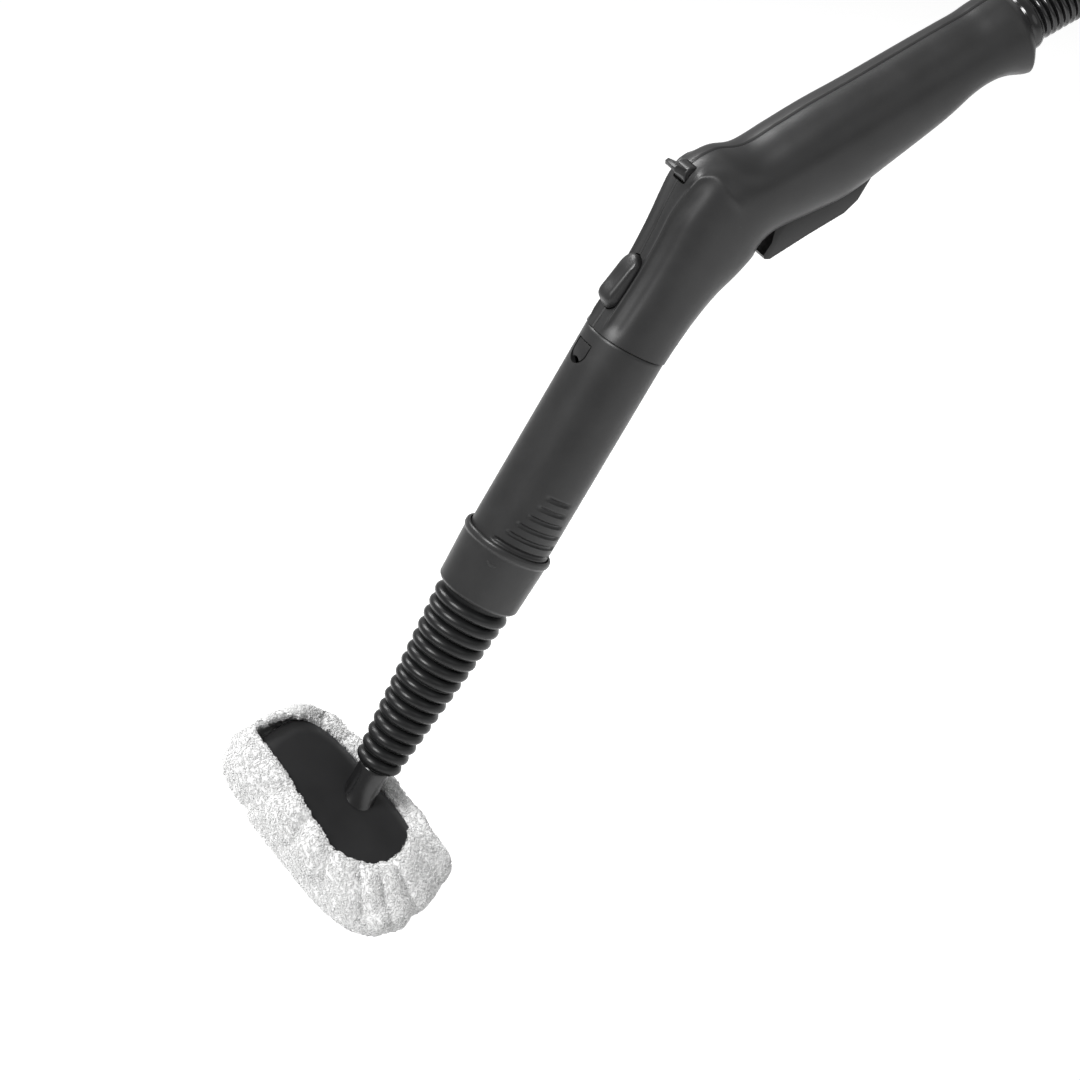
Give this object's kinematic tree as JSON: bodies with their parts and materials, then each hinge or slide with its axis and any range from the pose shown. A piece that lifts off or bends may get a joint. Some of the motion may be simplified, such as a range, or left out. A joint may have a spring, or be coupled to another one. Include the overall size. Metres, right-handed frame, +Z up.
{
  "type": "steam mop handset",
  "caption": "Hand-held steam gun with a trigger, an adapter tube, a corrugated flexible neck, a small bonneted brush head and its steam hose.",
  "frame": {"origin": "middle of the handle grip, where a hand holds the handset", "axes": "+X towards the butt of the handle and the hose, +Z up, -Y the left side of the handset; the tube leans back 32.5 degrees from upright in the XZ plane"},
  "size_m": [0.4778, 0.24, 0.7205],
  "materials": {
    "shell_plastic": "satin charcoal moulding",
    "control_plastic": "satin charcoal moulding",
    "plate_plastic": "fine matt",
    "bellows_rubber": "soft satin rubber",
    "gloss_black": "glossy",
    "terry": "looped cotton pile",
    "elastic": "braided",
    "bristle": "nylon",
    "steel": "zinc plated",
    "brass": "turned",
    "seal_rubber": "matt"
  },
  "bodies": {
    "handset": {"handset_shell_left": "shell_plastic", "handset_shell_right": "shell_plastic", "shell_screw_nose_front": "steel", "shell_screw_nose_rear": "steel", "shell_screw_handle_front": "steel", "shell_screw_handle_middle": "steel", "shell_screw_handle_rear": "steel", "release_latch_pin": "steel", "release_latch_spring": "steel", "steam_lock_pin": "steel", "trigger_pin": "steel", "trigger_spring": "steel", "steam_microswitch": "gloss_black", "steam_pipe": "brass", "steam_nozzle": "brass", "nozzle_seal_front": "seal_rubber", "nozzle_seal_rear": "seal_rubber", "hose_ferrule": "gloss_black", "adapter_tube": "shell_plastic", "hose_tube": "gloss_black", "hose_coil": "gloss_black", "hose_tail": "gloss_black", "hose_plug": "control_plastic", "plug_nipple": "brass", "plug_seal": "seal_rubber"},
    "trigger": {"trigger": "control_plastic"},
    "switch_plunger": {"switch_plunger": "bristle"},
    "steam_lock_lever": {"steam_lock_lever": "control_plastic"},
    "release_latch": {"release_latch": "control_plastic"},
    "collar": {"twist_collar": "shell_plastic", "neck_upper": "bellows_rubber"},
    "neck_middle": {"neck_middle": "bellows_rubber"},
    "head": {"neck_lower": "bellows_rubber", "head_stem": "gloss_black", "head_top_plate": "plate_plastic", "head_gasket": "seal_rubber", "head_base_plate": "plate_plastic", "head_screw_1": "steel", "head_screw_2": "steel", "head_screw_3": "steel", "head_screw_4": "steel", "bristle_pad": "bristle", "terry_bonnet": "terry", "bonnet_elastic": "elastic"},
    "plug_button": {"plug_button": "bristle"}
  },
  "joints": [
    {"name": "trigger_squeeze", "type": "hinge", "parent": "handset", "child": "trigger", "pos_m": [-0.02062, 0, -0.0272], "axis": [0, 1, 0], "range_deg": [0, 5], "stiffness_Nm_per_rad": 0.5, "deforming": ["trigger_spring"]},
    {"name": "switch_press", "type": "slide", "parent": "handset", "child": "switch_plunger", "axis": [-0.3584, 0, 0.9336], "range_m": [0, 0.0022]},
    {"name": "lock_lever_turn", "type": "hinge", "parent": "handset", "child": "steam_lock_lever", "pos_m": [-0.09645, 0, -0.0194], "axis": [0, -1, 0], "range_deg": [0, 35]},
    {"name": "release_latch_press", "type": "hinge", "parent": "handset", "child": "release_latch", "pos_m": [-0.10708, 0, -0.04856], "axis": [0, -1, 0], "range_deg": [0, 3], "stiffness_Nm_per_rad": 0.6, "deforming": ["release_latch_spring"]},
    {"name": "collar_twist", "type": "hinge", "parent": "handset", "child": "collar", "pos_m": [-0.18061, 0, -0.18016], "axis": [0.5373, 0, 0.8434], "range_deg": [-180, 180]},
    {"name": "neck_bend_fore_aft", "type": "hinge", "parent": "collar", "child": "neck_middle", "pos_m": [-0.20288, 0, -0.21512], "axis": [0, 1, 0], "range_deg": [-20, 20], "stiffness_Nm_per_rad": 2, "deforming": ["neck_upper", "neck_middle"]},
    {"name": "neck_bend_side", "type": "hinge", "parent": "neck_middle", "child": "head", "pos_m": [-0.21792, 0, -0.23873], "axis": [0.8434, 0, -0.5373], "range_deg": [-20, 20], "stiffness_Nm_per_rad": 2, "deforming": ["neck_lower"]},
    {"name": "plug_button_press", "type": "slide", "parent": "handset", "child": "plug_button", "axis": [0, 0, -1], "range_m": [0, 0.0015], "stiffness_N_per_m": 400}
  ],
  "couplings": [
    {"joint": "switch_press", "follows": "trigger_squeeze", "m_per_rad": 0.025}
  ]
}
